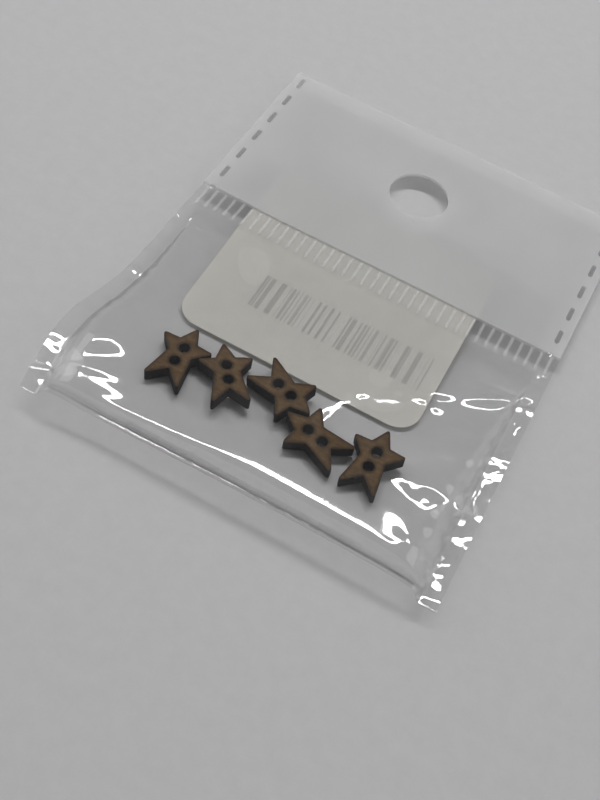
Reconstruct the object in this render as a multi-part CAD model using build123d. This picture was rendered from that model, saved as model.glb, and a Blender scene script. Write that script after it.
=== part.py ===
"""Small clear header bag holding five wooden star buttons, lying flat on a table.

Millimetres, +Z up. The origin is on the table, under the middle of the bag. X runs across the
bag, and Y runs along it, from the pouch's bottom fold (low Y) to the header's fold (high Y).
"""
from build123d import *
import os

# The bag's overall sizes, lying on its back
bag_width = 50.0
bag_length = 66.8
header_depth = 27.3       # from the header's fold down to its free edges
seam_height = 2.0         # height of the side welds and of the header's middle above the table

# Sheet thicknesses, and the air left between two sheets that touch
film = 0.06
header_film = 0.10
label_paper = 0.12
sheet_gap = 0.02

# The pouch, one film folded at the bottom and welded along both sides and its mouth
side_weld = 2.0
comb_depth = 4.0          # the ribbed weld that closes the mouth, just below the header
tongue_depth = 9.0        # how far the film runs up between the header's two leaves
tongue_inset = 3.2        # how far each side of that tongue is cut back
front_rise = 5.0          # how far the front bulges above the welds
belly_press = 0.1         # how far the back would pass through the table if none held it up
fold_rise = 1.6           # how far the bottom fold stands above the welds between its ends
weld_opening = 0.02       # what is left of the hollow where the two films reach a weld

# The ribs of the mouth weld
rib_pitch = 1.3
rib_width = 0.25
rib_length = 3.6
rib_height = 0.04

# The dashed heat seals down both sides, through the header and the pouch alike
dash_pitch = 4.37
dash_length = 2.4
dash_width = 0.6
dash_corner = 0.2         # each end of a dash is cut back this far at its corners
dash_depth = 0.03
dash_inset = 1.3          # from the bag's side edge to the middle of the dashes
header_dashes = 6
pouch_dashes = 8
first_dash = 3.25         # from the header's free edge up to the middle of its first dash

# The hang hole punched through the header
hang_hole_radius = 4.0
hang_hole_below_fold = 12.25
hang_hole_offset = -0.8   # its middle, to the left of the bag's middle

# The paper label stuck on the outside of the back
label_width = 31.5
label_length = 28.5
label_corner = 3.0
label_offset = -2.0       # its middle, to the left of the bag's middle
label_above_fold = 19.8   # its lower edge, above the bottom fold
label_step = 1.2          # length of the ramp where the label passes under the header's free edge

# One star button: a tall star with two thread holes on its axis
button_thickness = 1.65
head_reach = 4.42         # from the button's middle up to the tip of its head
shoulder = (1.15, 2.15)
arm_tip = (3.36, 2.03)
waist = (1.52, 0.02)
leg_tip = (2.32, -4.54)
crotch_drop = 2.34
tip_radius = 0.22
thread_hole_radius = 0.65
thread_hole_spacing = 2.12

# Where each button lies: its middle across the bag and above the bottom fold, its turn, and how
# far it leans about X and about Y, in degrees
button_places = [
    (-13.53, 14.03, -0.5, 1.7, -2.8),
    (-7.66, 14.71, 34.8, -2.1, -1.9),
    (-1.03, 16.18, -110.5, 3.5, -4.3),
    (4.70, 12.68, 75.2, 4.9, 0.4),
    (11.56, 13.34, -0.4, 5.1, -2.5),
]

# Places and sizes that follow from those above
half_width = bag_width / 2
fold_y = -bag_length / 2
top_y = bag_length / 2
header_edge_y = top_y - header_depth
comb_y = header_edge_y - comb_depth
bulge_length = comb_y - fold_y
bulge_half_width = half_width - side_weld
belly_drop = seam_height - film + belly_press
weld_half = film + weld_opening / 2
leaf_inner = weld_half + sheet_gap
leaf_outer = leaf_inner + header_film
dash_x = half_width - dash_inset
header_dash_y = [header_edge_y + first_dash + index * dash_pitch for index in range(header_dashes)]
pouch_dash_y = [header_dash_y[0] - (index + 1) * dash_pitch for index in range(pouch_dashes)]

# The bulge in side view: how far up from the bottom fold, and the share of the full rise or drop
front_side_view = [(0.84, 0.22), (0.62, 0.64), (0.38, 0.95), (0.22, 1.00), (0.11, 0.97), (0.05, 0.81)]
back_side_view = [(0.08, 0.30), (0.14, 0.76), (0.21, 1.00), (0.40, 1.03), (0.56, 0.66), (0.72, 0.25)]

# The bulge in end view: how far out towards the side welds, and the share of the full rise or drop
front_end_view = [(1.0, 0.0), (0.93, 0.42), (0.80, 0.80), (0.50, 1.08), (0.0, 1.16)]
back_end_view = [(1.0, 0.0), (0.94, 0.45), (0.86, 1.05), (0.60, 1.60), (0.0, 1.80)]


def plate(x_limits, y_limits, z_limits):
    """A flat rectangular piece between the given limits."""
    sizes = [limits[1] - limits[0] for limits in (x_limits, y_limits, z_limits)]
    middle = [sum(limits) / 2 for limits in (x_limits, y_limits, z_limits)]
    return Pos(*middle) * Box(*sizes)


def moved_out(points, grow):
    """The points of a run round the bulge, each moved out of it by grow, square to the run there.
    The run goes round anticlockwise, so that out is on its right."""
    moved = []
    for index, point in enumerate(points):
        before = points[max(index - 1, 0)]
        after = points[min(index + 1, len(points) - 1)]
        onward = Vector(after[0] - before[0], after[1] - before[1]).normalized()
        moved.append((point[0] + grow * onward.Y, point[1] - grow * onward.X))
    return moved


def side_run(grow):
    """The film in side view, as one curve: front, round bottom fold and back, from mouth to mouth."""
    front = [
        (fold_y + along * bulge_length, seam_height + weld_half + share * front_rise)
        for along, share in front_side_view
    ]
    back = [
        (fold_y + along * bulge_length, seam_height - weld_half - share * belly_drop)
        for along, share in back_side_view
    ]
    mouth_front = (comb_y, seam_height + weld_half)
    mouth_back = (comb_y, seam_height - weld_half)
    fold = (fold_y, seam_height + fold_rise)
    points = moved_out([mouth_front, *front, fold, *back, mouth_back], grow)
    return Spline(*points, tangents=[(-1, 0), (1, 0)])


def side_view(grow):
    """The bulge's outline along the bag, moved outwards by grow."""
    run = side_run(grow)
    return make_face([run, Line(run @ 1, run @ 0)])


def end_view(grow):
    """The bulge's outline across the bag, from side weld to side weld, moved outwards by grow."""
    front = [
        (out * bulge_half_width, seam_height + weld_half + share * front_rise)
        for out, share in front_end_view
    ]
    back = [
        (out * bulge_half_width, seam_height - weld_half - share * belly_drop)
        for out, share in back_end_view
    ]
    front_run = Spline(*moved_out(front + [(-x, z) for x, z in reversed(front[:-1])], grow))
    back_run = Spline(*moved_out([(-x, z) for x, z in back] + list(reversed(back[:-1])), grow))
    left = Line(front_run @ 1, back_run @ 0)
    right = Line(back_run @ 1, front_run @ 0)
    return make_face([front_run, left, back_run, right])


def bulge(grow):
    """The body inside the film's outer surface, moved outwards by grow. It curves one way at a time,
    as film does: the side view runs straight across the bag, and the end view straight along it."""
    run = extrude(Plane.YZ.offset(-half_width) * side_view(grow), bag_width)
    return run & extrude(Plane.XZ.offset(-top_y) * end_view(grow), 2 * bag_length)


def above(height):
    """Everything over the given height above the table, within the bag's outline."""
    ceiling = seam_height + 2 * front_rise
    return plate((-half_width, half_width), (fold_y, top_y), (height, ceiling))


def dash_prisms(y_values, z_low, z_high):
    """Prisms with cut corners at the dashes of both side seals, between two heights."""
    dash = Rectangle(dash_width, dash_length)
    prism = extrude(chamfer(dash.vertices(), dash_corner), z_high - z_low)
    return [Pos(side * dash_x, y, z_low) * prism for side in (-1, 1) for y in y_values]


def make_pouch():
    """The clear film: bulging pouch, flat welds, ribbed mouth weld and the tongue in the header."""
    weld = (seam_height - weld_half, seam_height + weld_half)
    body = bulge(0) & above(0)
    for side in (-1, 1):
        edge = sorted((side * bulge_half_width, side * half_width))
        body += plate(edge, (fold_y, comb_y), weld)
    body += plate((-half_width, half_width), (comb_y, header_edge_y), weld)
    tongue_half_width = half_width - tongue_inset
    tongue_top = header_edge_y + tongue_depth
    body += plate((-tongue_half_width, tongue_half_width), (header_edge_y, tongue_top), weld)
    body -= bulge(-film) & above(film)

    rib = Box(rib_width, rib_length, rib_height, align=(Align.CENTER, Align.CENTER, Align.MIN))
    rib_count = int((bag_width - rib_width) / rib_pitch)
    rib_row_start = -(rib_count - 1) * rib_pitch / 2
    rib_y = (comb_y + header_edge_y) / 2
    ribs = [Pos(rib_row_start + index * rib_pitch, rib_y, weld[1]) * rib for index in range(rib_count)]
    body += ribs

    body -= dash_prisms(pouch_dash_y, weld[1] - dash_depth, weld[1] + rib_height)
    return body


def make_header():
    """The white film: two leaves under one fold, joined by dashed seals, with the hang hole."""
    fold_centre_y = top_y - leaf_outer
    fold_axis = Pos(0, fold_centre_y, seam_height) * Rot(0, 90, 0)
    across = (-half_width, half_width)
    along = (header_edge_y, fold_centre_y)
    low, high = seam_height - leaf_outer, seam_height + leaf_outer
    body = plate(across, along, (low, high))
    body += fold_axis * Cylinder(leaf_outer, bag_width)
    body -= plate(across, along, (seam_height - leaf_inner, seam_height + leaf_inner))
    body -= fold_axis * Cylinder(leaf_inner, bag_width)

    body += dash_prisms(header_dash_y, low + dash_depth, high - dash_depth)
    body -= dash_prisms(header_dash_y, high - dash_depth, high)
    body -= dash_prisms(header_dash_y, low, low + dash_depth)

    hole_place = Pos(hang_hole_offset, top_y - hang_hole_below_fold, seam_height)
    body -= hole_place * Cylinder(hang_hole_radius, 4 * leaf_outer)
    return body


def back_run(grow, start_y):
    """The back of the film in side view, moved outwards by grow, from start_y to the mouth."""
    run = side_run(grow)
    crossings = run.find_intersection_points(Axis((start_y, 0, 0), (0, 1, 0)))
    start = min(crossings, key=lambda point: point.Y)
    return run.trim(run.param_at_point(start), 1)


def make_label():
    """The paper label: it follows the pouch's back, then steps down under the header's back leaf."""
    low_y = fold_y + label_above_fold
    high_y = low_y + label_length
    film_face = back_run(sheet_gap, low_y)
    table_face = back_run(sheet_gap + label_paper, low_y)
    film_side = film_face @ 1
    table_side = table_face @ 1
    header_side = seam_height - leaf_outer - sheet_gap
    ramp_y = header_edge_y - sheet_gap
    upper_steps = Polyline(
        film_side, (ramp_y - label_step, film_side.Y), (ramp_y, header_side), (high_y, header_side)
    )
    lower_steps = Polyline(
        (high_y, header_side - label_paper),
        (ramp_y, header_side - label_paper),
        (ramp_y - label_step, table_side.Y),
        table_side,
    )
    low_edge = Line(film_face @ 0, table_face @ 0)
    high_edge = Line(upper_steps @ 1, lower_steps @ 0)
    strip = make_face([low_edge, film_face, upper_steps, high_edge, lower_steps, table_face])
    left = label_offset - label_width / 2
    sheet = extrude(Plane.YZ.offset(left) * strip, label_width)

    outline = RectangleRounded(label_width, label_length, label_corner)
    return sheet & Pos(label_offset, (low_y + high_y) / 2, 0) * extrude(outline, seam_height)


def button_outline():
    """The star's outline, the same on both sides of its axis, with softened tips."""
    right_side = [(0, head_reach), shoulder, arm_tip, waist, leg_tip]
    left_side = [(-x, y) for x, y in reversed(right_side[1:])]
    outline = make_face(Polyline(*right_side, (0, -crotch_drop), *left_side, close=True))
    tip_reach = min(head_reach, Vector(*arm_tip).length, Vector(*leg_tip).length)
    tips = [
        corner for corner in outline.vertices()
        if Vector(corner.X, corner.Y).length > tip_reach - tip_radius
    ]
    return fillet(tips, tip_radius)


def back_film_height(y):
    """How high the upper side of the pouch's back film stands above the table, along its middle."""
    crossings = side_run(-film).find_intersection_points(Axis((y, 0, 0), (0, 1, 0)))
    return max(film, min(point.Y for point in crossings))


def make_button(across, along, turn, lean_x, lean_y):
    """One star button, leaning as it lies, let down until a corner meets the pouch's back film."""
    solid = extrude(button_outline(), -button_thickness)
    thread_hole = Cylinder(thread_hole_radius, 4 * button_thickness)
    for side in (-1, 1):
        solid -= Pos(0, side * thread_hole_spacing / 2, 0) * thread_hole
    solid = Pos(across, fold_y + along, 0) * Rot(lean_x, lean_y, turn) * solid
    lift = max(back_film_height(corner.Y) - corner.Z for corner in solid.vertices())
    return Pos(0, 0, lift + sheet_gap) * solid


os.makedirs("parts", exist_ok=True)
export_step(make_pouch(), "parts/pouch.step")
export_step(make_header(), "parts/header.step")
export_step(make_label(), "parts/label.step")
for number, place in enumerate(button_places, start=1):
    export_step(make_button(*place), f"parts/star_button_{number}.step")
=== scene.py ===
"""A small clear header bag holding five wooden star buttons, lying on a pale table.

Lengths are in millimetres up to the point where a mesh is made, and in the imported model's frame:
X across the bag, Y along it towards the header's fold, Z up from the table. Where the film is
shaped, x is a place across the bag, and along is the distance above its bottom fold.
"""
import math

import bpy
import numpy as np
from mathutils import Euler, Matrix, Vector, geometry


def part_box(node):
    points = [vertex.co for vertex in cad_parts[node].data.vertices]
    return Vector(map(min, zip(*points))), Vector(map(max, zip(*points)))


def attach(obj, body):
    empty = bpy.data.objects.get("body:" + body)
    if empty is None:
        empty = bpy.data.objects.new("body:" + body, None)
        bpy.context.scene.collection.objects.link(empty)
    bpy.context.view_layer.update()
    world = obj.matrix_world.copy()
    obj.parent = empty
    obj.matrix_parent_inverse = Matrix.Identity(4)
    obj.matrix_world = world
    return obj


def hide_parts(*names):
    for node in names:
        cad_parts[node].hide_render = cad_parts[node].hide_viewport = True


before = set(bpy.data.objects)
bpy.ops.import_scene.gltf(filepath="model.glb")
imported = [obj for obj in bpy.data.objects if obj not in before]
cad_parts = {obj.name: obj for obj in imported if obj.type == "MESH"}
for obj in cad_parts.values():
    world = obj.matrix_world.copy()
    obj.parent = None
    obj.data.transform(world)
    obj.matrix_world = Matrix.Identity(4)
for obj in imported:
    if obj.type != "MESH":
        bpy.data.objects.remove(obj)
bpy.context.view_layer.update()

MM = 0.001
BODY = "root"


def cad_box(node):
    """A node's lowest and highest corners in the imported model, in millimetres."""
    low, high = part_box(node)
    return np.array(low) / MM, np.array(high) / MM


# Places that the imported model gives
header_low, header_high = cad_box("header")
pouch_low, pouch_high = cad_box("pouch")
label_low, label_high = cad_box("label")
SEAM_Z = (header_low[2] + header_high[2]) / 2
FOLD_Y = pouch_low[1]
HEADER_EDGE_Y = header_low[1]
HEADER_TOP_Y = header_high[1]
HALF_WIDTH = header_high[0]
TONGUE_TOP_Y = pouch_high[1]

# Sheets, welds and seals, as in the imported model
FILM = 0.06
WELD_GAP = 0.01           # from each welded film to the middle of the weld
SHEET_GAP = 0.02          # between sheets that only touch
HEADER_FILM = 0.10
LABEL_PAPER = 0.12
LABEL_CORNER = 3.0
BUTTON_WOOD = 1.65
BUTTON_COUNT = 5
SIDE_WELD = 2.0
TONGUE_INSET = 3.2
RIB_PITCH = 1.3
RIB_COUNT = 38
FIRST_RIB = -(RIB_COUNT - 1) * RIB_PITCH / 2
COMB_START = 35.6         # above the bottom fold
COMB_END = 39.4
COMB_SOFTNESS = 0.5
DASH_INSET = 1.3
DASH_PITCH = 4.37
DASH_LENGTH = 2.4
DASH_WIDTH = 0.6
DASH_SOFTNESS = 0.1
FIRST_DASH = 3.25         # above the header's lower edge
HEADER_DASHES = 6
POUCH_DASHES = 8
HANG_HOLE_DROP = 12.25
HANG_HOLE = np.array([-0.8, HEADER_TOP_Y - HANG_HOLE_DROP])
HANG_HOLE_RADIUS = 4.0

# The camera, fitted to the photograph's straight edges, dashes and round hole
PHOTO_WIDTH = 600
PHOTO_HEIGHT = 800
FOCAL_PIXELS = 1200
SENSOR = 36.0
NEAREST = 10.0
CAMERA_PLACE = np.array([21.197, -96.519, 110.184])
CAMERA_TURN = (35.978, -9.536, 27.132)

# The lamps. The long narrow one makes the film's sharp highlights, and the two wide ones fill in.
LAMP_DISTANCE = 450.0
LAMP_AZIMUTH = 20.0       # degrees from +Y towards -X
LAMP_ELEVATION = 70.0
LAMP_SIZE = (300.0, 34.0)
LAMP_WATTS = 1.07
SOFT_LAMPS = {"left": (80.0, 40.0), "right": (-80.0, 40.0)}     # azimuth and elevation
SOFT_DISTANCE = 700.0
SOFT_SIZE = (500.0, 500.0)
SOFT_WATTS = 1.0
CLEAR_SURFACES = 32       # the most that a line of sight may cross

# The world's light, by the height of the direction it comes from
WALL_TOP = 0.1
CEILING_START = 0.4
WALL_LIGHT = 0.6
CEILING_LIGHT = 0.13
WORLD_TONE = (0.99, 0.99, 1.0, 1)

TABLE_HALF = 450.0
TABLE_LEVEL = -0.06


def direction(azimuth, elevation):
    """A unit vector: azimuth in degrees from +Y towards -X, elevation in degrees above the table."""
    turn, rise = math.radians(azimuth), math.radians(elevation)
    return np.array([-math.sin(turn) * math.cos(rise), math.cos(turn) * math.cos(rise), math.sin(rise)])


LAMP_PLACE = LAMP_DISTANCE * direction(LAMP_AZIMUTH, LAMP_ELEVATION)


# Small mathematical helpers

def smooth_curve(knots, values):
    """A function that runs smoothly through the values at the knots (a natural cubic spline)."""
    knots = np.asarray(knots, float)
    values = np.asarray(values, float).reshape(len(knots), -1)
    gaps = np.diff(knots)
    slopes = np.diff(values, axis=0) / gaps[:, None]
    last = len(knots) - 1
    system = np.eye(last + 1)
    right = np.zeros_like(values)
    for i in range(1, last):
        system[i, i - 1:i + 2] = gaps[i - 1], 2 * (gaps[i - 1] + gaps[i]), gaps[i]
        right[i] = 6 * (slopes[i] - slopes[i - 1])
    bends = np.linalg.solve(system, right)

    def at(measure):
        measure = np.asarray(measure, float)
        i = np.clip(np.searchsorted(knots, measure) - 1, 0, last - 1)
        gap = (knots[i + 1] - knots[i])[..., None]
        after = (measure - knots[i])[..., None] / gap
        before = 1 - after
        line = before * values[i] + after * values[i + 1]
        bow = (before ** 3 - before) * bends[i] + (after ** 3 - after) * bends[i + 1]
        return line + bow * gap ** 2 / 6

    return at


def chord_lengths(points):
    """How far along a run of points each one lies."""
    steps = np.linalg.norm(np.diff(np.asarray(points, float), axis=0), axis=1)
    return np.concatenate([[0], np.cumsum(steps)])


def soft_min(a, b, power=5.0):
    """The smaller of two positive heights, with a rounded change from one to the other."""
    tiny = 1e-4
    a, b = np.maximum(a, tiny), np.maximum(b, tiny)
    return (a ** -power + b ** -power) ** (-1 / power)


def soft_max(a, b, width):
    """The larger of two values, rounded over the given width."""
    return (a + b + np.sqrt((a - b) ** 2 + width ** 2)) / 2


def smooth_step(low, high, value):
    """0 below low, 1 above high, and a smooth rise between them."""
    share = np.clip((value - low) / (high - low), 0, 1)
    return share * share * (3 - 2 * share)


def bell(distance, width):
    """1 at no distance, falling smoothly to nothing over about twice the width."""
    return np.exp(-0.5 * (distance / width) ** 2)


def wander(places, amount, pitch, seed):
    """A smooth random curve along the given places, with about the given pitch between its bends."""
    source = np.random.default_rng(seed)
    low, high = places.min() - pitch, places.max() + pitch
    knots = np.arange(low, high + pitch, pitch)
    return smooth_curve(knots, source.uniform(-amount, amount, len(knots)))(places)[..., 0]


def stepped(stops, counts):
    """Places from the first stop to the last, with the counted steps from each stop to the next."""
    runs = [np.linspace(a, b, count, endpoint=False) for a, b, count in zip(stops, stops[1:], counts)]
    return np.concatenate([*runs, stops[-1:]])


def grid_places(xs, ys):
    """Every place of a grid, in one list."""
    return np.stack([axis.ravel() for axis in np.meshgrid(xs, ys)], axis=1)


# The pouch's form

# The film in side view along the middle of the bag: millimetres above the bottom fold, and above
# the table. It runs from the mouth down the front, round the fold's narrow lip, and up the back.
front_section = [
    (39.5, 2.04), (37.5, 2.04), (35.5, 2.05), (32.5, 2.45), (29.0, 3.2), (25.0, 4.25), (21.0, 5.25),
    (17.0, 6.0), (13.0, 6.4), (9.0, 6.58), (6.5, 6.63), (4.6, 6.63), (3.4, 6.62), (2.6, 6.57),
    (2.05, 6.44), (1.72, 6.05), (1.57, 5.45), (1.5, 4.85), (1.44, 4.25), (1.33, 3.80), (1.12, 3.705),
    (0.88, 3.70),
]
lip = (0.72, 3.62)
back_section = [
    (0.95, 3.5), (1.6, 2.9), (2.3, 2.0), (3.3, 1.15), (5.0, 0.45), (7.6, 0.05), (10.5, 0.0),
    (13.5, 0.12), (17.0, 0.42), (21.0, 0.73), (26.0, 1.07), (30.0, 1.35), (34.0, 1.68), (36.5, 1.92),
    (39.5, 1.96),
]
section_points = front_section + [lip] + back_section
section_measure = chord_lengths(section_points)
LIP_MEASURE = section_measure[len(front_section)]
MOUTH_FRONT = section_measure[2]
MOUTH_BACK = section_measure[-3]
section = smooth_curve(section_measure, section_points)

# The film in end view: share of the way out to the side welds, and millimetres above or below them
front_end = smooth_curve([0.0, 0.5, 0.80, 0.93, 1.0], [6.2, 5.9, 4.7, 2.7, 0.0])
back_end = smooth_curve([0.0, 0.6, 0.86, 0.94, 1.0], [3.7, 3.3, 2.15, 0.95, 0.0])
BULGE_HALF_WIDTH = HALF_WIDTH - SIDE_WELD
WELD_START = BULGE_HALF_WIDTH - 0.5
WELD_FULL = BULGE_HALF_WIDTH + 0.3
TABLE_CLEARANCE = 0.04
TABLE_SOFTNESS = 0.03

# The bag's left half is emptier: how much lower its front is, and how far its fold draws in
LEFT_DROP = 0.2
LEFT_DROP_SPAN = (2, -16)
LEFT_DRAW = 0.5
LEFT_DRAW_SPAN = (2, -14)

# Where the side welds curl up: side, place above the fold, half length, where across the bag the
# curl starts, and its height
seam_curls = [(-1, 9.0, 6.0, 14.0, 1.9), (1, 25.0, 7.0, 19.0, 0.5)]
SEAM_EDGE = 25.0

# The left side's bulge beyond the flat outline: the same measures, and how far it goes
BULGE_PLACE, BULGE_SPREAD, BULGE_START, BULGE_OUT = 9.5, 6.0, 10.0, 1.2


def end_height(curve, x):
    """How far the film may stand from the welds at a place across the bag."""
    out = np.clip(np.abs(x) / BULGE_HALF_WIDTH, 0, 1)
    return np.maximum(curve(out)[..., 0], 0)


def fullness(x):
    """1 over the middle of the bag, falling to 0 at the side welds."""
    return end_height(front_end, x) / front_end(0.0)[..., 0]


def seam_lift(x, along):
    """How far the side welds and the film beside them curl up from their level."""
    return sum(
        bell(along - place, spread) * smooth_step(start, SEAM_EDGE, side * x) * rise
        for side, place, spread, start, rise in seam_curls
    )


def seam_shift(x, along):
    """How far the film bulges out sideways beyond its flat outline."""
    share = smooth_step(BULGE_START, SEAM_EDGE, -x)
    return -BULGE_OUT * bell(along - BULGE_PLACE, BULGE_SPREAD) * share


# The side welds' creases are drawn at random: their height, width and reach, how far they lean for
# each millimetre inwards, and the step to the next one
CREASE_RISE = (0.05, 0.24)
CREASE_WIDTH = (0.35, 0.8)
CREASE_REACH = (1.6, 5.5)
CREASE_LEAN = (-0.5, 0.5)
CREASE_STEP = (1.3, 3.4)
FIRST_CREASE = 1.0
LAST_CREASE = 38.0
CREASE_SEED = 7

rng = np.random.default_rng(CREASE_SEED)
seam_creases = []
for side in (-1, 1):
    place = FIRST_CREASE
    while place < LAST_CREASE:
        seam_creases.append((
            side, place, rng.uniform(*CREASE_RISE), rng.uniform(*CREASE_WIDTH),
            rng.uniform(*CREASE_REACH), rng.uniform(*CREASE_LEAN),
        ))
        place += rng.uniform(*CREASE_STEP)

# Creases that fan out from the bottom corners: side, angle from the fold line in degrees, length,
# height, and the width that they grow by along their length
corner_creases = [
    (-1, 4, 20, 0.12, 0.9), (-1, 11, 17, -0.10, 0.8), (-1, 19, 22, 0.07, 1.2), (-1, 30, 18, 0.10, 1.3),
    (-1, 43, 20, -0.12, 1.4), (-1, 56, 17, 0.15, 1.2), (-1, 69, 16, 0.13, 1.0),
    (1, 8, 9, 0.12, 0.6), (1, 21, 12, -0.12, 0.9), (1, 36, 13, 0.16, 1.0), (1, 52, 15, -0.16, 1.0),
    (1, 67, 13, 0.20, 0.9), (1, 80, 12, 0.18, 0.8),
]
CORNER_WIDTH = 0.25
CORNER_SHARES = (0.02, 1.3)


def film_creases(x, along):
    """The creases that the side welds and the bottom corners send into both films."""
    height = np.zeros(np.broadcast(x, along).shape)
    for side, place, rise, width, reach, lean in seam_creases:
        inwards = BULGE_HALF_WIDTH - side * x
        fade = bell(np.maximum(inwards, 0), reach)
        height += rise * bell(along - place - lean * inwards, width) * fade
    for side, angle, length, rise, width in corner_creases:
        turn = math.radians(angle)
        from_corner = HALF_WIDTH - side * x
        outwards = from_corner * math.cos(turn) + along * math.sin(turn)
        aside = along * math.cos(turn) - from_corner * math.sin(turn)
        envelope = np.sin(np.pi * np.clip(outwards / length, 0, 1)) ** 2
        spread = CORNER_WIDTH + width * np.clip(outwards / length, *CORNER_SHARES)
        height += rise * envelope * bell(aside, spread)
    return height


# The film's slow waves: height, the two lengths over which the phase grows by one, and phase
film_waves = [(0.06, 3.1, 5.3, 0.4), (0.04, 4.7, -3.6, 2.0), (0.02, 1.9, 2.7, 1.1)]


def undulation(x, along):
    """The film's slow unevenness."""
    return sum(rise * np.sin(x / width + along / length + phase)
               for rise, width, length, phase in film_waves)


# The back film's middle line in fine steps, so that its height can be looked up
FINE_STEPS = 1500
fine_back = section(np.linspace(LIP_MEASURE, section_measure[-1], FINE_STEPS))

# The back film shares the front's waves and creases, but less of them
BACK_WAVES = 0.25
BACK_WAVE_SHIFT = 9
BACK_WAVES_FULL = 6
BACK_CREASES = 0.25


def back_height(x, along):
    """Height of the back film's middle above the table, from the belly to the mouth."""
    under = SEAM_Z - np.interp(along, fine_back[:, 0], fine_back[:, 1])
    return SEAM_Z - FILM / 2 - WELD_GAP - soft_min(under, end_height(back_end, x))


def weld_share(x):
    """1 on the side welds, and 0 between them."""
    return smooth_step(WELD_START, WELD_FULL, np.abs(x))


def front_detail(x, along):
    """What the front film's unevenness and creases add to its height."""
    return undulation(x, along) * fullness(x) + film_creases(x, along)


def back_detail(x, along):
    """What the back film's unevenness and creases add to its height."""
    slow = BACK_WAVES * undulation(x + BACK_WAVE_SHIFT, along) * fullness(x)
    slow = slow * smooth_step(0, BACK_WAVES_FULL, along)
    return slow + film_creases(x, along) * (BACK_CREASES + (1 - BACK_CREASES) * weld_share(x))


def back_film(x, along):
    """Height of the back film above the table, without its highlight facets."""
    return back_height(x, along) + back_detail(x, along) + seam_lift(x, along)


# Runs of small facets where the back film turns just far enough to mirror the lamp, read off the
# photograph, in its pixels: the run, then each facet's half length and half width
glint_runs_px = [
    ([(323, 421), (340, 408), (357, 399), (375, 401), (392, 403), (408, 401), (427, 404)], 0.9, 0.5),
    ([(427, 404), (448, 400), (468, 400), (490, 401), (512, 403)], 1.1, 0.5),
    ([(513, 402), (511, 414), (503, 422), (497, 434), (494, 441), (484, 450), (478, 464)], 0.7, 0.45),
    ([(516, 430), (508, 437), (501, 450)], 0.6, 0.4),
    ([(499, 468), (492, 476), (483, 487), (478, 497)], 0.5, 0.35),
    ([(386, 474), (398, 479), (410, 483), (424, 488), (438, 494), (448, 501), (459, 507)], 1.0, 0.8),
    ([(416, 490), (424, 499)], 0.6, 0.5),
    ([(296, 453), (287, 459), (281, 466), (283, 473), (292, 477), (305, 477)], 0.6, 0.3),
]
FACET_SPACING = 1.6       # in half lengths
FACET_REACH = 0.1         # over which a run's direction is taken
SLOPE_REACH = 0.15        # over which the film's slope is taken
FACET_SOFTENING = 0.004   # keeps neighbouring facets' tilts small
FIRST_HEIGHT = 1.0
PLACE_ROUNDS = 12


def photo_ray(pixel):
    """The direction from the camera through a pixel of the photograph."""
    across = (pixel[0] - PHOTO_WIDTH / 2) / FOCAL_PIXELS
    down = (pixel[1] - PHOTO_HEIGHT / 2) / FOCAL_PIXELS
    turn = Euler([math.radians(angle) for angle in CAMERA_TURN]).to_matrix()
    return np.array(turn @ Vector((across, -down, -1)))


def film_place(pixel):
    """Where on the back film a pixel of the photograph falls: across, and above the fold."""
    ray = photo_ray(pixel)
    height = FIRST_HEIGHT
    for _ in range(PLACE_ROUNDS):
        point = CAMERA_PLACE + ray * (height - CAMERA_PLACE[2]) / ray[2]
        height = float(back_film(point[0], point[1] - FOLD_Y))
    return np.array([point[0], point[1] - FOLD_Y])


def mirror_slope(x, along):
    """The slope across and along that mirrors the lamp into the camera."""
    point = np.stack([x, along + FOLD_Y, back_film(x, along)], axis=-1)
    to_camera = CAMERA_PLACE - point
    to_lamp = LAMP_PLACE - point
    half = to_camera / np.linalg.norm(to_camera, axis=-1, keepdims=True)
    half += to_lamp / np.linalg.norm(to_lamp, axis=-1, keepdims=True)
    return -half[..., :2] / half[..., 2:]


def film_slope(x, along):
    """The slope of the back film across and along, over a short distance."""
    across = back_film(x + SLOPE_REACH, along) - back_film(x - SLOPE_REACH, along)
    upwards = back_film(x, along + SLOPE_REACH) - back_film(x, along - SLOPE_REACH)
    return np.stack([across, upwards], axis=-1) / (2 * SLOPE_REACH)


def facets_of(run_px, half_length, half_width):
    """One run's facets: their middles, their directions and the two half sizes."""
    corners = np.array([film_place(pixel) for pixel in run_px])
    measure = chord_lengths(corners)
    count = max(2, round(measure[-1] / (FACET_SPACING * half_length)) + 1)
    places = np.linspace(0, measure[-1], count)
    path = smooth_curve(measure, corners)
    middles = path(places)
    ahead, behind = np.minimum(places + FACET_REACH, measure[-1]), np.maximum(places - FACET_REACH, 0)
    onward = path(ahead) - path(behind)
    onward /= np.linalg.norm(onward, axis=1, keepdims=True)
    return [(middle, way, half_length, half_width) for middle, way in zip(middles, onward)]


facets = [facet for run in glint_runs_px for facet in facets_of(*run)]
facet_middles = np.array([facet[0] for facet in facets])
facet_ways = np.array([facet[1] for facet in facets])
facet_sides = np.stack([-facet_ways[:, 1], facet_ways[:, 0]], axis=1)
facet_lengths = np.array([facet[2] for facet in facets])
facet_widths = np.array([facet[3] for facet in facets])


def facet_terms(x, along):
    """For each place and facet: the offsets from its middle, and its fading."""
    offset = np.stack([x, along], axis=-1)[..., None, :] - facet_middles
    onward = (offset * facet_ways).sum(-1)
    aside = (offset * facet_sides).sum(-1)
    return offset, onward, aside, bell(onward, facet_lengths) * bell(aside, facet_widths)


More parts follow.
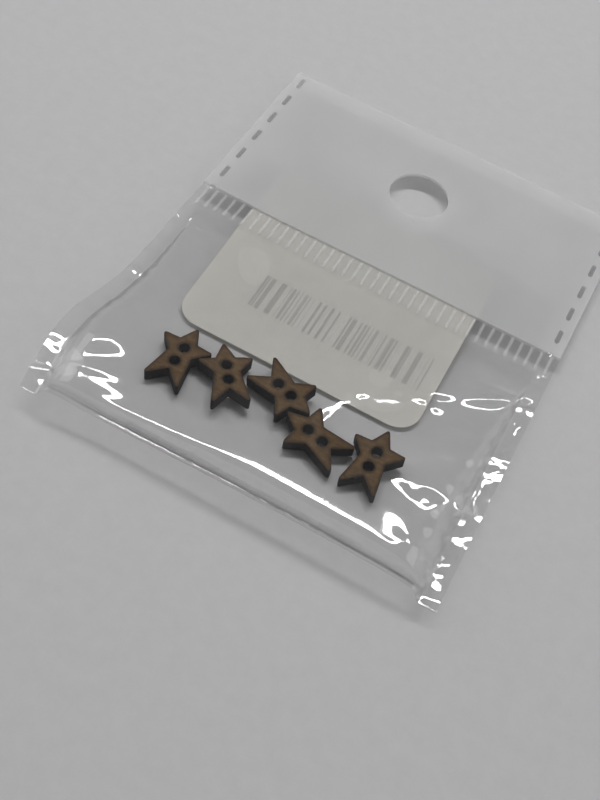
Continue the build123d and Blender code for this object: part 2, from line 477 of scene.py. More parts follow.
def facet_tilts():
    """How far each facet tilts the film, so that every middle has just the slope that mirrors."""
    x, along = facet_middles.T
    wanted = mirror_slope(x, along) - film_slope(x, along)
    offset, onward, aside, fade = facet_terms(x, along)
    fall = (onward / facet_lengths ** 2)[..., None] * facet_ways
    fall += (aside / facet_widths ** 2)[..., None] * facet_sides
    blocks = fade[..., None, None] * (np.eye(2) - fall[..., :, None] * offset[..., None, :])
    count = len(facets)
    system = blocks.transpose(0, 2, 1, 3).reshape(2 * count, 2 * count)
    softened = system.T @ system + FACET_SOFTENING * np.eye(2 * count)
    return np.linalg.solve(softened, system.T @ wanted.ravel()).reshape(count, 2)


tilts = facet_tilts()


def facet_height(x, along):
    """How far the facets raise the back film."""
    offset, _, _, fade = facet_terms(x, along)
    return ((offset * tilts).sum(-1) * fade).sum(-1)


# Meshes

SHARP_ANGLE = math.radians(60)


def link(name, mesh):
    piece = bpy.data.objects.new(name, mesh)
    bpy.context.scene.collection.objects.link(piece)
    return piece


def make_mesh(name, points, faces):
    """A mesh with smooth shading from points in millimetres."""
    mesh = bpy.data.meshes.new(name)
    mesh.from_pydata((np.asarray(points) * MM).tolist(), [], faces)
    mesh.update()
    mesh.shade_smooth()
    return mesh


def add_mask(mesh, name, values):
    """A number at each vertex that a material can read."""
    mask = mesh.attributes.new(name, "FLOAT", "POINT")
    mask.data.foreach_set("value", np.asarray(values, np.float32).ravel())


def grid_faces(rows, columns):
    """Quads over a grid of points."""
    index = np.arange(rows * columns).reshape(rows, columns)
    corners = [index[:-1, :-1], index[:-1, 1:], index[1:, 1:], index[1:, :-1]]
    return np.stack(corners, axis=-1).reshape(-1, 4).tolist()


def bridge_faces(first, second):
    """Quads between two rows of points."""
    return [
        (int(a), int(b), int(d), int(c))
        for a, b, c, d in zip(first, first[1:], second, second[1:])
    ]


def thicken(piece, thickness):
    """Gives a sheet its thickness, half to each side, and keeps it as the piece's own mesh."""
    solid = piece.modifiers.new("thickness", "SOLIDIFY")
    solid.thickness = thickness * MM
    solid.offset = 0
    solid.use_even_offset = False
    bpy.context.view_layer.update()
    evaluated = piece.evaluated_get(bpy.context.evaluated_depsgraph_get())
    mesh = bpy.data.meshes.new_from_object(evaluated)
    piece.modifiers.clear()
    old = piece.data
    piece.data = mesh
    bpy.data.meshes.remove(old)
    mesh.shade_smooth()
    mesh.set_sharp_from_angle(angle=SHARP_ANGLE)


def dash_mask(x, y):
    """1 on the dashed seals of both sides, and 0 away from them."""
    from_line = np.abs(np.abs(x) - (HALF_WIDTH - DASH_INSET))
    first = HEADER_EDGE_Y + FIRST_DASH
    number = np.clip(np.round((y - first) / DASH_PITCH), -POUCH_DASHES, HEADER_DASHES - 1)
    from_middle = np.abs(y - first - number * DASH_PITCH)
    beyond = np.hypot(from_line, np.maximum(from_middle - (DASH_LENGTH - DASH_WIDTH) / 2, 0))
    return smooth_step(DASH_WIDTH / 2 + DASH_SOFTNESS, DASH_WIDTH / 2 - DASH_SOFTNESS, beyond)


# The pouch's mesh has five columns to each rib. Its rows are stepped between these stops, which are
# closest together at the fold.
RIB_COLUMNS = 5
EDGE_COLUMNS = 3
ROW_STOPS = [
    0, MOUTH_FRONT, LIP_MEASURE - 6, LIP_MEASURE - 1.2, LIP_MEASURE + 0.6, LIP_MEASURE + 9.0,
    MOUTH_BACK, section_measure[-1],
]
ROW_STEPS = [12, 63, 25, 17, 21, 91, 6]
TONGUE_STEPS = [0.4, 2.5, 5.0, TONGUE_TOP_Y - HEADER_EDGE_Y]      # above the header's lower edge

LAYER_CHANGE = 0.35       # from the lip to where the film lies fully in its own layer
LIP_REACH = 2.2
LEFT_DRAW_PLACE = 5
LEFT_DRAW_REACH = 2.0
LIP_RIPPLE = 0.02
LIP_RIPPLE_RATE = 7.6
LIP_RIPPLE_REACH = 0.6
DETAIL_START = 0.4        # the front's details fade in over this stretch behind the lip
DETAIL_FULL = 7.0
DETAIL_FADE = (39.5, 34.0)
RIB_SHARPNESS = 2.2
RIB_POWER = 4
FRONT_RIB, BACK_RIB = 0.06, 0.03
DASH_DEPTH = 0.05
COMB_WELD_FADE = 0.3


def film_columns():
    """Where the mesh's columns stand across the bag."""
    step = RIB_PITCH / RIB_COLUMNS
    first = FIRST_RIB - EDGE_COLUMNS * step
    return np.concatenate([[-HALF_WIDTH], np.arange(first, -first + step / 2, step), [HALF_WIDTH]])


def film_points(measure, across, layer):
    """The film's middle surface at each row and column, and the masks of its welds and ribs."""
    path = section(measure)
    before_lip = (LIP_MEASURE - measure)[:, None]
    in_front = before_lip >= 0
    along = path[:, 0][:, None] + 0 * across
    x = across + 0 * along
    over = path[:, 1][:, None] - SEAM_Z
    lower_left = 1 - LEFT_DROP * smooth_step(*LEFT_DROP_SPAN, across)
    above = soft_min(over, end_height(front_end, across)) * lower_left
    below = soft_min(-over, end_height(back_end, across))
    height = SEAM_Z + layer + np.where(over > 0, above, -below)

    # the fold draws in where the bag is full, and lies at the flat outline beside the welds
    along -= lip[0] * bell(before_lip, LIP_REACH) * (1 - fullness(across))
    draw = LEFT_DRAW * smooth_step(*LEFT_DRAW_SPAN, across)
    along -= draw * bell(before_lip - LEFT_DRAW_PLACE, LEFT_DRAW_REACH)
    phase = wander(across, amount=1.5, pitch=3.0, seed=5)
    ripple = LIP_RIPPLE * np.sin(x * LIP_RIPPLE_RATE + phase)
    ripple = ripple + wander(across, amount=0.03, pitch=0.9, seed=6)
    along += ripple * bell(before_lip, LIP_RIPPLE_REACH)

    welded = weld_share(x)
    behind_lip = smooth_step(DETAIL_START, DETAIL_FULL, before_lip)
    front = front_detail(x, along) * np.maximum(behind_lip, welded)
    back = back_detail(x, along) + facet_height(x, along)
    height += np.where(in_front, front, back) * smooth_step(*DETAIL_FADE, along)
    height += seam_lift(x, along)
    height = soft_max(height, TABLE_CLEARANCE, TABLE_SOFTNESS)
    x = x + seam_shift(x, along)

    # the mouth's weld: one rib at every pitch, higher on the front
    rib_phase = (across - FIRST_RIB) / RIB_PITCH
    rib_line = np.clip(1 - RIB_SHARPNESS * np.abs(rib_phase - np.round(rib_phase)), 0, 1) ** RIB_POWER
    in_comb = smooth_step(COMB_START, COMB_START + COMB_SOFTNESS, along)
    in_comb = in_comb * smooth_step(COMB_END, COMB_END - COMB_SOFTNESS, along)
    height += np.where(in_front, FRONT_RIB, BACK_RIB) * rib_line * in_comb
    dashes = dash_mask(x, along + FOLD_Y)
    height -= DASH_DEPTH * dashes

    mouth_weld = smooth_step(COMB_START - COMB_WELD_FADE, COMB_START, along)
    masks = {
        "weld": np.maximum(welded, mouth_weld),
        "rib": rib_line * in_comb * in_front,
        "dash": dashes,
    }
    return np.stack([x, along + FOLD_Y, height], axis=-1), masks


def tongue_rows(steps, across, level):
    """Rows of the film between the header's leaves, flat and a little narrower than the pouch."""
    narrow = (HALF_WIDTH - TONGUE_INSET) / HALF_WIDTH
    return [
        np.stack([across * narrow, 0 * across + HEADER_EDGE_Y + step, 0 * across + level], axis=-1)
        for step in steps
    ]


def make_pouch():
    """The clear film, as one sheet from the front of its tongue round the fold to the back."""
    measure, across = stepped(ROW_STOPS, ROW_STEPS), film_columns()
    layer = np.clip((LIP_MEASURE - measure) / LAYER_CHANGE, -1, 1)[:, None] * (FILM / 2 + WELD_GAP)
    middle, masks = film_points(measure, across, layer)
    points = np.concatenate([
        tongue_rows(TONGUE_STEPS[::-1], across, SEAM_Z + layer[0]),
        middle,
        tongue_rows(TONGUE_STEPS, across, SEAM_Z + layer[-1]),
    ])
    mesh = make_mesh("pouch_film", points.reshape(-1, 3), grid_faces(*points.shape[:2]))
    tongue = [(len(TONGUE_STEPS), len(TONGUE_STEPS)), (0, 0)]
    for name, mask in masks.items():
        add_mask(mesh, name, np.pad(mask, tongue, constant_values=1 if name == "weld" else 0))
    piece = link("pouch_film", mesh)
    thicken(piece, FILM)
    return piece


def triangulated(points, loops):
    """Triangles over flat points. The first loop bounds them, and the others are holes."""
    edges = [
        (loop[i], loop[(i + 1) % len(loop)])
        for loop in loops
        for i in range(len(loop))
    ]
    merged_below = 1e-7
    places = [Vector(p) for p in points]
    flat, _, faces, *_ = geometry.delaunay_2d_cdt(places, edges, [], 0, merged_below)
    return np.array([tuple(p) for p in flat]), [tuple(face) for face in faces]


def inside(polygon, places):
    """Which places lie inside a closed outline."""
    x, y = places[:, 0][:, None], places[:, 1][:, None]
    ax, ay = polygon[:, 0], polygon[:, 1]
    bx, by = np.roll(ax, -1), np.roll(ay, -1)
    spans = (ay > y) != (by > y)
    rise = np.where(by == ay, 1, by - ay)
    crossing = ax + (y - ay) * (bx - ax) / rise
    return (spans & (x < crossing)).sum(1) % 2 == 1


def within(outer, holes, places):
    """Which places lie inside an outline and outside its holes."""
    good = inside(outer, places)
    for hole in holes:
        good &= ~inside(hole, places)
    return good


def outline_distance(polygons, places):
    """How far each place is from the nearest of some closed outlines."""
    shortest = 1e-12
    nearest = np.full(len(places), np.inf)
    for polygon in polygons:
        run = np.roll(polygon, -1, axis=0) - polygon
        offset = places[:, None, :] - polygon
        share = np.clip((offset * run).sum(-1) / np.maximum((run ** 2).sum(-1), shortest), 0, 1)
        gap = np.linalg.norm(offset - share[..., None] * run, axis=-1).min(1)
        nearest = np.minimum(nearest, gap)
    return nearest


EDGE_ROOM = 0.35          # in outline spacings, between an outline and the places that fill it


def filled(outer, holes, fill):
    """A flat mesh over an outline with holes: its points, and its faces."""
    loops, start = [], 0
    for loop in (outer, *holes):
        loops.append(list(range(start, start + len(loop))))
        start += len(loop)
    fill = fill[within(outer, holes, fill)]
    spacing = np.linalg.norm(np.roll(outer, -1, axis=0) - outer, axis=1).min()
    fill = fill[outline_distance([outer, *holes], fill) > EDGE_ROOM * spacing]
    flat, faces = triangulated(np.concatenate([outer, *holes, fill]), loops)
    middles = np.array([flat[list(face)].mean(0) for face in faces])
    return flat, [face for face, keep in zip(faces, within(outer, holes, middles)) if keep]


def resampled(loop, spacing):
    """A closed outline with points no further apart than the spacing, and its corners kept."""
    result = []
    for start, end in zip(loop, np.roll(loop, -1, axis=0)):
        count = max(1, math.ceil(np.linalg.norm(end - start) / spacing))
        result += [start + (end - start) * i / count for i in range(count)]
    return np.array(result)


# The header's slow waves and its lifted left corner
EDGE_WAVE = 0.05
EDGE_WAVE_REACH = 9
LEAF_WAVE = 0.03
CORNER_LIFT = 0.22
CORNER_REACH = 5.0


def header_wave(x, y):
    """The header's slight waviness, which both leaves share."""
    edge = smooth_step(HEADER_EDGE_Y + EDGE_WAVE_REACH, HEADER_EDGE_Y, y)
    wave = EDGE_WAVE * np.sin(x / 5.0 + 0.7) * edge + LEAF_WAVE * np.sin(y / 4.2 + x / 9.0)
    lift = bell(x + HALF_WIDTH, CORNER_REACH) * bell(y - HEADER_EDGE_Y, CORNER_REACH)
    return wave + CORNER_LIFT * lift


LEAF_SPACING = 0.7
LEAF_HALF = 22.2          # how far out the even grid goes
DASH_COLUMN, DASH_ROW = 0.15, 0.2
DASH_GRID_HALF = 0.6
HOLE_POINTS = 96
HOLE_RINGS = (0.25, 0.6)
HOLE_ROOM = 0.9
PRESSED_GAP = 0.004       # between a dash's two leaves
FOLD_TURNS = 7


def header_leaf(fold_y):
    """One flat leaf: its points and faces, finer along the dashes and round the hang hole."""
    corners = np.array([
        (-HALF_WIDTH, HEADER_EDGE_Y), (HALF_WIDTH, HEADER_EDGE_Y),
        (HALF_WIDTH, fold_y), (-HALF_WIDTH, fold_y),
    ])
    angles = np.linspace(0, 2 * math.pi, HOLE_POINTS, endpoint=False)
    circle = np.stack([np.cos(angles), np.sin(angles)], axis=1)
    even = grid_places(
        np.arange(-LEAF_HALF, LEAF_HALF + 0.1, LEAF_SPACING),
        np.arange(HEADER_EDGE_Y + LEAF_SPACING, fold_y - 0.3, LEAF_SPACING),
    )
    columns = HALF_WIDTH - DASH_INSET + np.arange(-DASH_GRID_HALF, DASH_GRID_HALF + 0.01, DASH_COLUMN)
    rows = np.arange(HEADER_EDGE_Y + 0.3, fold_y - DASH_ROW, DASH_ROW)
    fill = np.concatenate([even, grid_places(np.concatenate([-columns, columns]), rows)])
    far = np.linalg.norm(fill - HANG_HOLE, axis=1) > HANG_HOLE_RADIUS + HOLE_ROOM
    rings = [HANG_HOLE + (HANG_HOLE_RADIUS + grow) * circle[::2] for grow in HOLE_RINGS]
    hole = HANG_HOLE + HANG_HOLE_RADIUS * circle
    return filled(resampled(corners, LEAF_SPACING), [hole], np.concatenate([fill[far], *rings]))


def make_header():
    """The white film: two leaves under one fold, with pressed dashes and the hang hole."""
    middle_gap = SHEET_GAP + FILM + WELD_GAP + HEADER_FILM / 2
    fold_y = HEADER_TOP_Y - middle_gap - HEADER_FILM / 2
    flat, faces = header_leaf(fold_y)
    x, y = flat.T
    pressed = dash_mask(x, y)
    gap = middle_gap * (1 - pressed) + (HEADER_FILM / 2 + PRESSED_GAP) * pressed
    wave = header_wave(x, y)
    front = np.stack([x, y, SEAM_Z + gap + wave], axis=1)
    back = np.stack([x, y, SEAM_Z - gap + wave], axis=1)
    points = [*front, *back]
    faces = faces + [tuple(len(flat) + i for i in face[::-1]) for face in faces]

    # the fold joins the leaves' upper edges round a small half circle
    same_place = 1e-6
    top = np.flatnonzero(np.abs(y - fold_y) < same_place)
    top = top[np.argsort(x[top])]
    previous = top
    for turn in np.radians(np.linspace(90, -90, FOLD_TURNS)[1:-1]):
        start = len(points)
        beyond, lift = middle_gap * math.cos(turn), middle_gap * math.sin(turn)
        points += [np.array([x[i], fold_y + beyond, SEAM_Z + lift + wave[i]]) for i in top]
        current = np.arange(start, start + len(top))
        faces += bridge_faces(previous, current)
        previous = current
    faces += bridge_faces(previous, top + len(flat))

    mesh = make_mesh("header_film", points, faces)
    place = np.array(points)
    add_mask(mesh, "dash", dash_mask(place[:, 0], place[:, 1]))
    piece = link("header_film", mesh)
    thicken(piece, HEADER_FILM)
    return piece


LABEL_SPACING = 0.6
LABEL_INSET = 0.4
CORNER_POINTS = 10
STEP_DOWN = 1.2           # over which the label passes under the header's back leaf


def make_label():
    """The paper label under the back film and, past the header's edge, under its back leaf."""
    low, high = label_low[:2], label_high[:2]
    inner_low, inner_high = low + LABEL_CORNER, high - LABEL_CORNER
    centres = [
        (inner_high[0], inner_high[1]), (inner_low[0], inner_high[1]),
        (inner_low[0], inner_low[1]), (inner_high[0], inner_low[1]),
    ]
    quarter = math.pi / 2
    outline = np.array([
        (x + LABEL_CORNER * math.cos(angle), y + LABEL_CORNER * math.sin(angle))
        for turn, (x, y) in enumerate(centres)
        for angle in np.linspace(0, quarter, CORNER_POINTS) + turn * quarter
    ])
    columns, rows = (np.arange(low[i] + LABEL_INSET, high[i], LABEL_SPACING) for i in (0, 1))
    flat, faces = filled(resampled(outline, LABEL_SPACING), [], grid_places(columns, rows))
    x, y = flat.T
    film_side = back_height(x, y - FOLD_Y) - FILM / 2 - SHEET_GAP
    header_side = SEAM_Z - WELD_GAP - FILM - SHEET_GAP - HEADER_FILM - SHEET_GAP
    under_header = smooth_step(HEADER_EDGE_Y - STEP_DOWN, HEADER_EDGE_Y, y)
    top = film_side * (1 - under_header) + (header_side + header_wave(x, y)) * under_header
    height = np.maximum(top - LABEL_PAPER / 2, LABEL_PAPER / 2 + SHEET_GAP)
    piece = link("label_paper", make_mesh("label_paper", np.stack([x, y, height], axis=1), faces))
    thicken(piece, LABEL_PAPER)
    return piece


UPWARD = 0.9              # the least upright part of an upper face's normal
SAME_DIGITS = 3


def face_loops(node):
    """The closed outlines of a button's upper face, the longest first, and the face's normal."""
    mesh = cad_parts[node].data
    places = np.array([tuple(v.co) for v in mesh.vertices]) / MM
    upper = [p for p in mesh.polygons if p.normal.z > UPWARD]
    normal = np.array(sum((p.normal * p.area for p in upper), Vector())).astype(float)
    normal /= np.linalg.norm(normal)
    merged = {}
    keys = [merged.setdefault(tuple(np.round(place, SAME_DIGITS)), len(merged)) for place in places]
    spots = np.zeros((len(merged), 3))
    for key, place in zip(keys, places):
        spots[key] = place
    ways = {}
    for polygon in upper:
        corners = [keys[i] for i in polygon.vertices]
        ways.update(dict.fromkeys(zip(corners, corners[1:] + corners[:1])))
    following = {start: end for start, end in ways if (end, start) not in ways}
    loops = []
    while following:
        loop = [next(iter(following))]
        while loop[-1] in following:
            loop.append(following.pop(loop[-1]))
        loops.append(spots[loop[:-1]])
    loops.sort(key=lambda loop: -chord_lengths(loop)[-1])
    return loops, normal


CUT_SPACING = 0.16
FACE_SPACING = 0.2
FACE_SHAKE = 0.03
CUT_SHAKE = 0.008
WALL_SHAKE = 0.012
BURN_DEPTH = 0.03
BURN_WIDTH = 0.06
WALL_INSET = 0.06
WALL_ROWS = 9


def make_star(number):
    """One button, cut by a laser: grainy faces with burnt rims, and charred walls and holes."""
    loops, normal = face_loops(f"star_button_{number}")
    source = np.random.default_rng(number)
    middle = loops[0].mean(0)
    across = np.cross((0, 1, 0), normal)
    across /= np.linalg.norm(across)
    onward = np.cross(normal, across)
    plane = np.stack([across, onward], axis=1)
    cuts = [resampled((loop - middle) @ plane, CUT_SPACING) for loop in loops[:3]]
    ragged = [cut + source.normal(0, CUT_SHAKE, cut.shape) for cut in cuts]
    reach = np.abs(cuts[0]).max() + CUT_SPACING
    steps = np.arange(-reach, reach, FACE_SPACING)
    fill = grid_places(steps, steps)
    fill = fill + source.uniform(-FACE_SHAKE, FACE_SHAKE, fill.shape)
    flat, faces = filled(ragged[0], ragged[1:], fill)
    rim = outline_distance(ragged, flat)
    sunk = BURN_DEPTH * bell(rim, BURN_WIDTH)
    boundary = sum(len(loop) for loop in ragged)

    def placed(places, depth):
        depth = np.broadcast_to(depth, len(places))
        return middle + places[:, :1] * across + places[:, 1:] * onward - depth[:, None] * normal

    count = len(flat)
    points = [placed(flat, sunk), placed(flat, BUTTON_WOOD - sunk)]
    faces = faces + [tuple(count + i for i in face[::-1]) for face in faces]
    for depth in np.linspace(WALL_INSET, BUTTON_WOOD - WALL_INSET, WALL_ROWS):
        shake = source.normal(0, WALL_SHAKE, (boundary, 2))
        points.append(placed(flat[:boundary] + shake, depth))
    starts = [0, *(2 * count + row * boundary for row in range(WALL_ROWS)), count]
    begin = 0
    for loop in ragged:
        size = len(loop)
        for above, below in zip(starts, starts[1:]):
            for i in range(begin, begin + size):
                j = begin + (i - begin + 1) % size
                faces.append((above + i, below + i, below + j, above + j))
        begin += size
    mesh = make_mesh(f"button_{number}", np.concatenate(points), faces)
    mesh.set_sharp_from_angle(angle=SHARP_ANGLE)
    add_mask(mesh, "rim", np.concatenate([rim, rim, np.zeros(boundary * WALL_ROWS)]))
    return link(f"button_{number}", mesh)


# Materials

class Nodes:
    """Short ways to add and join a material's nodes."""

    def __init__(self, name):
        self.material = bpy.data.materials.new(name)
        self.material.use_nodes = True
        self.tree = self.material.node_tree
        self.tree.nodes.clear()
        self.output = self.add("ShaderNodeOutputMaterial")

    def add(self, kind, **settings):
        node = self.tree.nodes.new(kind)
        for name, value in settings.items():
            setattr(node, name, value)
        return node

    def put(self, socket, value):
        """Sets a socket to a plain value, or joins another node's output to it."""
        if isinstance(value, bpy.types.NodeSocket):
            self.tree.links.new(value, socket)
        else:
            socket.default_value = value

    def fitted(self, kind, **values):
        """A node with these sockets put in, by their names."""
        node = self.add(kind)
        for name, value in values.items():
            self.put(node.inputs[name.replace("_", " ")], value)
        return node

    def math(self, operation, *values):
        node = self.add("ShaderNodeMath", operation=operation)
        for socket, value in zip(node.inputs, values):
            self.put(socket, value)
        return node.outputs[0]

    def mask(self, name):
        return self.add("ShaderNodeAttribute", attribute_name=name).outputs["Fac"]

    def place(self, scale=(1, 1, 1), turn=0.0):
        """Object coordinates in millimetres, stretched and turned about Z."""
        coordinates = self.add("ShaderNodeTexCoord").outputs["Object"]
        stretch = [share / MM for share in scale]
        rotation = (0, 0, math.radians(turn))
        mapping = self.fitted("ShaderNodeMapping", Vector=coordinates, Scale=stretch, Rotation=rotation)
        return mapping.outputs["Vector"]

    def noise(self, place, scale, detail=3.0, roughness=0.5, distortion=0.0):
        return self.fitted(
            "ShaderNodeTexNoise",
            Vector=place, Scale=scale, Detail=detail, Roughness=roughness, Distortion=distortion,
        ).outputs["Fac"]

    def ranged(self, value, low, high, to_low=0.0, to_high=1.0, smooth=False):
        node = self.add("ShaderNodeMapRange", interpolation_type="SMOOTHSTEP" if smooth else "LINEAR")
        for socket, number in zip(node.inputs, (value, low, high, to_low, to_high)):
            self.put(socket, number)
        return node.outputs["Result"]

    def colours(self, value, stops):
        """A ramp of colours, given as places along it and colours."""
        node = self.add("ShaderNodeValToRGB")
        self.put(node.inputs[0], value)
        elements = node.color_ramp.elements
        elements[0].position, elements[0].color = stops[0][0], (*stops[0][1], 1)
        elements[1].position, elements[1].color = stops[-1][0], (*stops[-1][1], 1)
        for position, colour in stops[1:-1]:
            elements.new(position).color = (*colour, 1)
        return node.outputs["Color"]

    def blend(self, share, first, second):
        """A mix of two colours."""
        node = self.add("ShaderNodeMix", data_type="RGBA", blend_type="MIX")
        self.put(node.inputs[0], share)
        for socket, value in ((node.inputs[6], first), (node.inputs[7], second)):
            self.put(socket, value if isinstance(value, bpy.types.NodeSocket) else (*value, 1))
        return node.outputs[2]

    def bump(self, height, strength, distance):
        """distance is in millimetres."""
        node = self.fitted("ShaderNodeBump", Height=height, Strength=strength, Distance=distance * MM)
        return node.outputs["Normal"]

    def mix(self, share, first, second):
        """A mix of two shaders."""
        node = self.add("ShaderNodeMixShader")
        self.put(node.inputs[0], share)
        self.put(node.inputs[1], first.outputs[0])
        self.put(node.inputs[2], second.outputs[0])
        return node

    def surface(self, normal, tone, roughness, specular):
        """An opaque surface."""
        return self.fitted(
            "ShaderNodeBsdfPrincipled",
            Normal=normal, Base_Color=tone, Roughness=roughness, Specular_IOR_Level=specular,
        )

    def schlick(self, straight, normal):
        """The share of light that a surface reflects, from the share that it reflects straight on."""
        weight = self.fitted("ShaderNodeLayerWeight", Blend=0.5, Normal=normal)
        grazing = self.math("POWER", weight.outputs["Facing"], 5.0)
        return self.math("MULTIPLY_ADD", grazing, 1 - straight, straight)

    def done(self, shader):
        self.put(self.output.inputs["Surface"], shader.outputs[0])
        return self.material


def clear_film():
    """Thin clear film: it mirrors a little, dims what is behind it a little, and is finely creased."""
    n = Nodes("clear_film")
    fine = n.noise(n.place(scale=(1, 0.35, 1), turn=33), scale=2.2, detail=2.0, roughness=0.6)
    speckle = n.noise(n.place(), scale=9.0, detail=1.0)
    normal = n.bump(n.math("MULTIPLY_ADD", speckle, 0.25, fine), strength=0.5, distance=0.004)
    gloss = n.fitted("ShaderNodeBsdfGlossy", Normal=normal, Color=(1, 1, 1, 1), Roughness=0.06)
    grazing = n.math("POWER", n.add("ShaderNodeLayerWeight").outputs["Facing"], 5.0)
    tint = n.blend(grazing, (0.995, 0.995, 0.995), (0.35, 0.35, 0.35))
    through = n.fitted("ShaderNodeBsdfTransparent", Color=tint)
    haze = n.fitted("ShaderNodeBsdfDiffuse", Normal=normal, Color=(0.62, 0.62, 0.62, 1))
    cloud = n.ranged(n.noise(n.place(), scale=0.35, detail=2.0), 0.35, 0.75, to_high=0.012)
    milk = n.math("MULTIPLY_ADD", n.mask("weld"), 0.02, cloud)
    body = n.mix(milk, through, haze)
    # The comb's ribs are painted paler: partly the embossed weld's own whitish scatter, and partly a
    # painted highlight along their crests.
    rib_paleness_and_highlight = n.fitted("ShaderNodeBsdfDiffuse", Color=(0.85, 0.85, 0.85, 1))
    body = n.mix(n.math("MULTIPLY", n.mask("rib"), 0.20), body, rib_paleness_and_highlight)
    return n.done(n.mix(n.schlick(0.04, normal), body, gloss))


def white_film():
    """Milky white film, a little see-through, and clearer where the dashed seals press it."""
    n = Nodes("white_film")
    normal = n.bump(n.noise(n.place(), scale=3.5, roughness=0.6), strength=0.25, distance=0.02)
    uneven = n.noise(n.place(), scale=0.12, detail=2.0)
    tone = n.colours(uneven, [(0.3, (0.80, 0.80, 0.805)), (0.7, (0.85, 0.85, 0.855))])
    face = n.surface(normal, tone, roughness=0.32, specular=0.3)
    glow = n.fitted("ShaderNodeBsdfTranslucent", Color=(0.95, 0.95, 0.95, 1))
    milky = n.mix(0.57, face, glow)
    pressed = n.mask("dash")
    tint = n.blend(n.ranged(pressed, 0.3, 0.8), (0.98, 0.98, 0.98), (0.88, 0.88, 0.88))
    through = n.fitted("ShaderNodeBsdfTransparent", Color=tint)
    clear = n.ranged(pressed, 0.2, 0.8, to_low=0.6, to_high=0.9)
    return n.done(n.mix(clear, milky, through))


# The bars' field on the label: how far its left, right, lower and upper edges are from the label's
# left, right and lower edges
BARS_LEFT, BARS_RIGHT, BARS_LOW, BARS_HIGH = 6.5, 1.6, 6.0, 11.3
BARS_EDGE = 0.1


def label_paper():
    """Paper seen from its glued back, with a plain pattern of bars showing faintly through it."""
    n = Nodes("label_paper")
    place = n.place()
    split = n.add("ShaderNodeSeparateXYZ")
    n.put(split.inputs[0], place)
    x, y = split.outputs[0], split.outputs[1]
    across_only = n.add("ShaderNodeCombineXYZ")
    n.put(across_only.inputs[0], x)
    stripes = n.noise(across_only.outputs[0], scale=1.35, detail=1.0, roughness=0.9)
    share = n.ranged(stripes, 0.50, 0.53)
    for axis, edge, inwards in (
        (x, label_low[0] + BARS_LEFT, 1), (x, label_high[0] - BARS_RIGHT, -1),
        (y, label_low[1] + BARS_LOW, 1), (y, label_low[1] + BARS_HIGH, -1),
    ):
        share = n.math("MULTIPLY", share, n.ranged(axis, edge, edge + inwards * BARS_EDGE))
    fibre = n.noise(place, scale=2.5, detail=5.0, roughness=0.65)
    paper = n.colours(fibre, [(0.3, (0.84, 0.825, 0.78)), (0.7, (0.88, 0.865, 0.82))])
    tone = n.blend(n.math("MULTIPLY", share, 0.42), paper, (0.24, 0.24, 0.24))
    face = n.surface(n.bump(fibre, strength=0.3, distance=0.02), tone, roughness=0.7, specular=0.3)
    glow = n.fitted("ShaderNodeBsdfTranslucent", Color=(0.93, 0.92, 0.89, 1))
    return n.done(n.mix(0.42, face, glow))


WOOD_TONES = [
    (0.36, (0.075, 0.045, 0.021)), (0.50, (0.103, 0.062, 0.029)), (0.62, (0.132, 0.083, 0.041)),
]
CHAR_TONES = [(0.3, (0.012, 0.010, 0.010)), (0.7, (0.030, 0.027, 0.028))]
SCORCHED_TONE = (0.030, 0.018, 0.011)
GRAIN_TURN = 31           # degrees from each button's grain to the next one's


def button_wood(number):
    """Laser-cut wood: a mottled brown face with a burnt rim, and charred walls."""
    n = Nodes(f"button_wood_{number}")
    along_grain = n.place(scale=(0.35, 2.2, 1), turn=GRAIN_TURN * number)
    grain = n.noise(along_grain, scale=1.6, detail=5.0, roughness=0.6, distortion=0.4)
    mottle = n.noise(n.place(), scale=0.7, roughness=0.6)
    face = n.colours(n.math("MULTIPLY_ADD", mottle, 0.5, n.math("MULTIPLY", grain, 0.5)), WOOD_TONES)
    uneven = n.math("MULTIPLY_ADD", n.noise(n.place(), scale=1.8), 0.5, -0.25)
    rim = n.mask("rim")
    scorched = n.ranged(n.math("ADD", rim, uneven), 0.45, 0.02, to_high=0.75, smooth=True)
    tone = n.blend(scorched, face, SCORCHED_TONE)
    char = n.colours(n.noise(n.place(), scale=3.0), CHAR_TONES)
    tone = n.blend(n.ranged(rim, 0.05, 0.0), tone, char)
    normal = n.bump(n.math("ADD", grain, n.noise(n.place(), scale=6.0)), strength=0.35, distance=0.03)
    return n.done(n.surface(normal, tone, roughness=0.65, specular=0.1))


def table_top():
    """Plain pale table."""
    n = Nodes("table_top")
    cloth = n.noise(n.place(), scale=0.5, detail=6.0, roughness=0.7)
    tone = n.colours(cloth, [(0.3, (0.50, 0.495, 0.50)), (0.7, (0.53, 0.525, 0.53))])
    normal = n.bump(cloth, strength=0.2, distance=0.05)
    return n.done(n.surface(normal, tone, roughness=0.8, specular=0.2))


# The pieces

def dress(piece, material, node):
    """Gives a piece its material, hides the node that it stands for, and ties the piece to the body."""
    piece.data.materials.clear()
    piece.data.materials.append(material)
    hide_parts(node)
    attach(piece, BODY)


dress(make_pouch(), clear_film(), "pouch")
dress(make_header(), white_film(), "header")
dress(make_label(), label_paper(), "label")
for number in range(1, BUTTON_COUNT + 1):
    dress(make_star(number), button_wood(number), f"star_button_{number}")


# Floor, lamps, world and camera

def make_table():
    """The floor that the bag lies on."""
    corners = [
        (x * TABLE_HALF, y * TABLE_HALF, TABLE_LEVEL)
        for x, y in ((-1, -1), (1, -1), (1, 1), (-1, 1))
    ]
    table = link("table", make_mesh("table", corners, [(0, 1, 2, 3)]))
    table.data.materials.append(table_top())


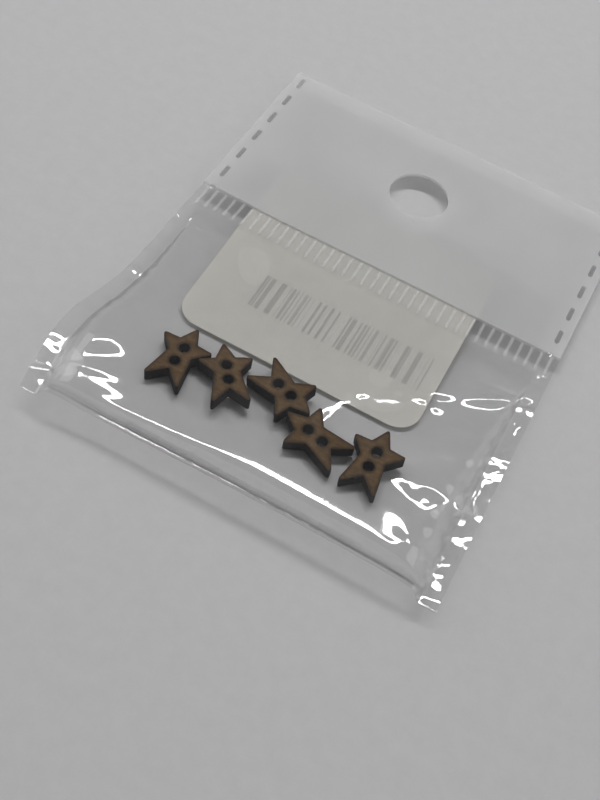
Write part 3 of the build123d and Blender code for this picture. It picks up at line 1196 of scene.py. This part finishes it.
def add_lamp(name, place, size, watts):
    """A flat lamp that faces the origin. Its size is the level way and the steep way."""
    lamp = bpy.data.lights.new(name, "AREA")
    lamp.shape = "RECTANGLE"
    lamp.size, lamp.size_y = size[0] * MM, size[1] * MM
    lamp.energy = watts
    holder = bpy.data.objects.new(name, lamp)
    holder.location = Vector(place) * MM
    holder.rotation_euler = Vector(place).to_track_quat("Z", "Y").to_euler()
    bpy.context.scene.collection.objects.link(holder)


def make_world():
    """Soft light from all round: a dim ceiling, and pale walls that show at low angles."""
    world = bpy.data.worlds.new("world")
    world.use_nodes = True
    tree = world.node_tree
    background = tree.nodes["Background"]
    coordinates = tree.nodes.new("ShaderNodeTexCoord")
    split = tree.nodes.new("ShaderNodeSeparateXYZ")
    ranged = tree.nodes.new("ShaderNodeMapRange")
    tree.links.new(coordinates.outputs["Generated"], split.inputs[0])
    tree.links.new(split.outputs[2], ranged.inputs["Value"])
    ranged.inputs["From Min"].default_value = WALL_TOP
    ranged.inputs["From Max"].default_value = CEILING_START
    ranged.inputs["To Min"].default_value = WALL_LIGHT
    ranged.inputs["To Max"].default_value = CEILING_LIGHT
    tree.links.new(ranged.outputs["Result"], background.inputs["Strength"])
    background.inputs["Color"].default_value = WORLD_TONE
    bpy.context.scene.world = world


def make_camera():
    """The camera at the photograph's viewing angle."""
    camera = bpy.data.cameras.new("camera")
    camera.sensor_width = SENSOR
    camera.lens = FOCAL_PIXELS * SENSOR / PHOTO_HEIGHT
    camera.clip_start = NEAREST * MM
    holder = bpy.data.objects.new("camera", camera)
    holder.location = Vector(CAMERA_PLACE) * MM
    holder.rotation_euler = [math.radians(angle) for angle in CAMERA_TURN]
    bpy.context.scene.collection.objects.link(holder)
    bpy.context.scene.camera = holder


make_table()
add_lamp("lamp", LAMP_PLACE, LAMP_SIZE, LAMP_WATTS)
for side, angles in SOFT_LAMPS.items():
    add_lamp(f"soft_lamp_{side}", SOFT_DISTANCE * direction(*angles), SOFT_SIZE, SOFT_WATTS)
make_world()
make_camera()
bpy.context.scene.view_settings.view_transform = "Standard"
bpy.context.scene.cycles.transparent_max_bounces = CLEAR_SURFACES
